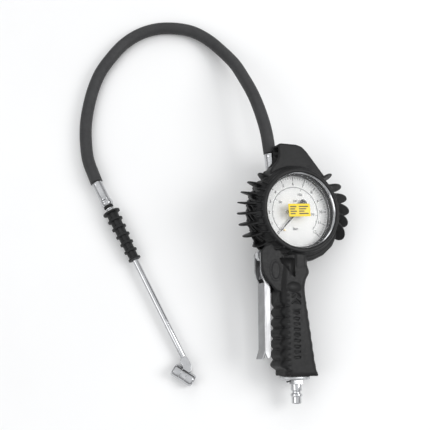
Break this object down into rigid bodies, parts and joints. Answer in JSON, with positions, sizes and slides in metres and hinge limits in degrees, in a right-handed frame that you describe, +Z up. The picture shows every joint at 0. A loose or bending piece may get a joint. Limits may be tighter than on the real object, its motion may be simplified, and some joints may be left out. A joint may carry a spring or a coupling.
{
  "type": "tyre inflator with gauge",
  "caption": "Hand-held tyre inflator with dial gauge, lever valve in a rubber-booted pistol body, hose, and a slim lance with a dual-foot chuck.",
  "frame": {"origin": "centre of the footprint of the rigid pieces, on the surface that the inflator lies on", "axes": "+Z up from that surface, +Y up the grip towards the gauge and hanging loop, +X away from the lever"},
  "size_m": [0.2808, 0.4118, 0.0692],
  "materials": {
    "rubber_black": "matte moulded rubber",
    "hose_rubber": "fine cloth-wrapped rubber",
    "seal_rubber": "smooth rubber",
    "aluminium_cast": "die cast, satin",
    "lever_metal": "pressed and satin polished",
    "chrome": "bright plated",
    "steel": "turned steel",
    "brass": "turned brass",
    "case_white": "satin paint",
    "dial_white": "matte printed enamel",
    "pointer_black": "matte black paint",
    "lens_clear": "clear window",
    "label_yellow": "printed label"
  },
  "bodies": {
    "root": {"body_casting": "aluminium_cast", "head_boot": "rubber_black", "hang_hood": "rubber_black", "grip_boot": "rubber_black", "base_flange": "aluminium_cast", "inlet_nipple": "chrome", "nipple_seal": "seal_rubber", "gauge_case": "case_white", "gauge_bezel": "chrome", "bezel_gasket": "seal_rubber", "gauge_lens": "lens_clear", "lens_label": "label_yellow", "dial_plate": "dial_white", "dial_screw_left": "steel", "dial_screw_right": "steel", "zero_stop_pin": "brass", "movement_frame": "brass", "bourdon_tube": "brass", "bourdon_link": "steel", "gauge_socket": "brass", "lever_pin": "steel", "pin_clip": "steel", "lever_spring": "steel", "plunger_seal": "seal_rubber", "valve_seat": "seal_rubber", "valve_spring": "steel", "valve_plug": "brass", "hose_port_fitting": "brass", "body_ferrule": "chrome", "hose": "hose_rubber", "lance_ferrule": "chrome", "swivel_nut": "chrome", "swivel_seal": "seal_rubber"},
    "lever": {"lever": "lever_metal"},
    "plunger": {"valve_plunger": "steel"},
    "sector": {"sector_gear": "brass"},
    "pointer": {"pointer": "pointer_black", "pointer_arbor": "brass"},
    "lance": {"lance_nipple": "chrome", "lance_grip": "rubber_black", "lance_tube": "chrome", "chuck_block": "chrome", "chuck_barrel": "chrome", "chuck_seal_front": "seal_rubber", "chuck_seal_rear": "seal_rubber"},
    "chuck_pin_front": {"chuck_pin_front": "brass"},
    "chuck_pin_rear": {"chuck_pin_rear": "brass"}
  },
  "joints": [
    {"name": "lever_squeeze", "type": "hinge", "parent": "root", "child": "lever", "pos_m": [0.03304, 0.01279, 0.04432], "axis": [0.3649, -0.0989, 0.9258], "range_deg": [0, 4.6], "stiffness_Nm_per_rad": 1.5, "springref_deg": -5.73},
    {"name": "valve_push", "type": "slide", "parent": "root", "child": "plunger", "axis": [0.9311, 0.0388, -0.3628], "range_m": [0, 0.00135]},
    {"name": "sector_swing", "type": "hinge", "parent": "root", "child": "sector", "pos_m": [0.06594, 0.0412, 0.03255], "axis": [0.3649, -0.0989, 0.9258], "range_deg": [0, 30], "stiffness_Nm_per_rad": 0.02, "springref_deg": -2.86},
    {"name": "pointer_turn", "type": "hinge", "parent": "root", "child": "pointer", "pos_m": [0.06937, 0.05718, 0.04306], "axis": [-0.3649, 0.0989, -0.9258], "range_deg": [0, 270]},
    {"name": "lance_swivel", "type": "hinge", "parent": "root", "child": "lance", "pos_m": [-0.12066, 0.07197, 0.00912], "axis": [0.4586, -0.8885, -0.0147], "continuous": true},
    {"name": "front_pin_press", "type": "slide", "parent": "lance", "child": "chuck_pin_front", "axis": [-0.8508, 0.5254, 0.0126], "range_m": [0, 0.0018], "stiffness_N_per_m": 200, "springref_m": -0.001},
    {"name": "rear_pin_press", "type": "slide", "parent": "lance", "child": "chuck_pin_rear", "axis": [0.8508, -0.5254, -0.0126], "range_m": [0, 0.0018], "stiffness_N_per_m": 200, "springref_m": -0.001}
  ],
  "couplings": [
    {"joint": "valve_push", "follows": "lever_squeeze", "m_per_rad": 0.0164},
    {"joint": "pointer_turn", "follows": "sector_swing", "ratio": 9}
  ]
}
